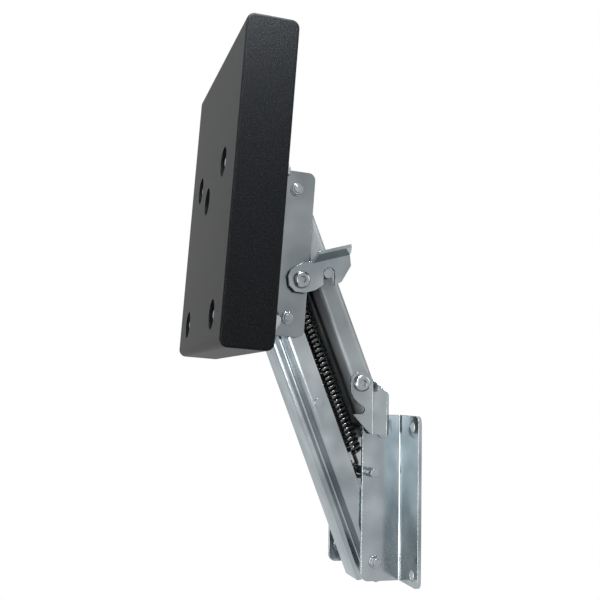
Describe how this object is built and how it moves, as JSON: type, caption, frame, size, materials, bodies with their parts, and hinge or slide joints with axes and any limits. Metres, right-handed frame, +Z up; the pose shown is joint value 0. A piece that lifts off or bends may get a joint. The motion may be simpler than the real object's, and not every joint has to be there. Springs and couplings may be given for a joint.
{
  "type": "outboard motor bracket",
  "caption": "Folding bracket that lifts a small outboard motor on a boat's transom: board, four-bar arms, lift springs, release lever and latch.",
  "frame": {"origin": "middle of the four transom bolt holes, on the face that meets the transom", "axes": "+X into the boat, +Z up, +Y to the right seen from the boat"},
  "size_m": [0.1684, 0.22, 0.4412],
  "materials": {
    "steel": "polished folded sheet",
    "fastener_steel": "polished",
    "board": "fine grained black polyethylene",
    "spring": "black oiled spring wire"
  },
  "bodies": {
    "transom_mount": {"transom_bracket_left": "steel", "transom_bracket_right": "steel", "lower_transom_pin": "fastener_steel", "upper_transom_pin": "fastener_steel", "spring_anchor_rod": "fastener_steel", "transom_nuts": "fastener_steel", "transom_washers": "fastener_steel"},
    "lower_arm": {"lower_arm": "steel", "lower_arm_spacers": "fastener_steel", "lower_arm_tie_pin": "fastener_steel"},
    "motor_mount": {"motor_board": "board", "motor_bracket_left": "steel", "motor_bracket_right": "steel", "board_bolts": "fastener_steel", "board_washers": "fastener_steel", "board_nuts": "fastener_steel", "lower_motor_pin": "fastener_steel", "upper_motor_pin": "fastener_steel", "motor_nuts": "fastener_steel", "motor_washers": "fastener_steel", "lever_pivot_rod": "fastener_steel"},
    "upper_arm": {"upper_arm": "steel", "upper_arm_spacers": "fastener_steel", "lock_pin": "fastener_steel", "latch_bolts": "fastener_steel", "latch_spacers": "fastener_steel"},
    "latch": {"latch_left": "steel", "latch_right": "steel"},
    "lever": {"lever_left": "steel", "lever_right": "steel", "lever_spacers": "fastener_steel"},
    "springs": {"lift_spring_left": "spring", "lift_spring_right": "spring"},
    "spring_hooks": {"spring_hook_left": "spring", "spring_hook_right": "spring"}
  },
  "joints": [
    {"name": "arm_swing", "type": "hinge", "parent": "transom_mount", "child": "lower_arm", "pos_m": [-0.024, 0, -0.052], "axis": [0, -1, 0], "range_deg": [0, 107]},
    {"name": "board_level", "type": "hinge", "parent": "lower_arm", "child": "motor_mount", "pos_m": [-0.10236, 0, 0.14391], "axis": [0, -1, 0], "range_deg": [-107.2, 0]},
    {"name": "upper_arm_swing", "type": "hinge", "parent": "transom_mount", "child": "upper_arm", "pos_m": [-0.01787, 0, 0.05432], "axis": [0, -1, 0], "range_deg": [0, 107.2]},
    {"name": "latch_swing", "type": "hinge", "parent": "upper_arm", "child": "latch", "pos_m": [-0.03932, 0, 0.0926], "axis": [0, -1, 0], "range_deg": [0, 25]},
    {"name": "lever_lift", "type": "hinge", "parent": "motor_mount", "child": "lever", "pos_m": [-0.09215, 0, 0.17497], "axis": [0, -1, 0], "range_deg": [0, 40]},
    {"name": "spring_swing", "type": "hinge", "parent": "transom_mount", "child": "springs", "pos_m": [-0.0296, 0, 0.0202], "axis": [0, -1, 0], "range_deg": [0, 117.9]},
    {"name": "spring_stretch", "type": "slide", "parent": "springs", "child": "spring_hooks", "axis": [-0.3747, 0, 0.9271], "range_m": [0, 0.0619], "deforming": ["lift_spring_left", "lift_spring_right", "spring_hook_left", "spring_hook_right"]}
  ],
  "couplings": [
    {"joint": "board_level", "follows": "arm_swing", "ratio": -1},
    {"joint": "upper_arm_swing", "follows": "arm_swing", "ratio": 1},
    {"joint": "spring_swing", "follows": "arm_swing", "ratio": 1.097},
    {"joint": "spring_stretch", "follows": "arm_swing", "m_per_rad": 0.032883}
  ]
}
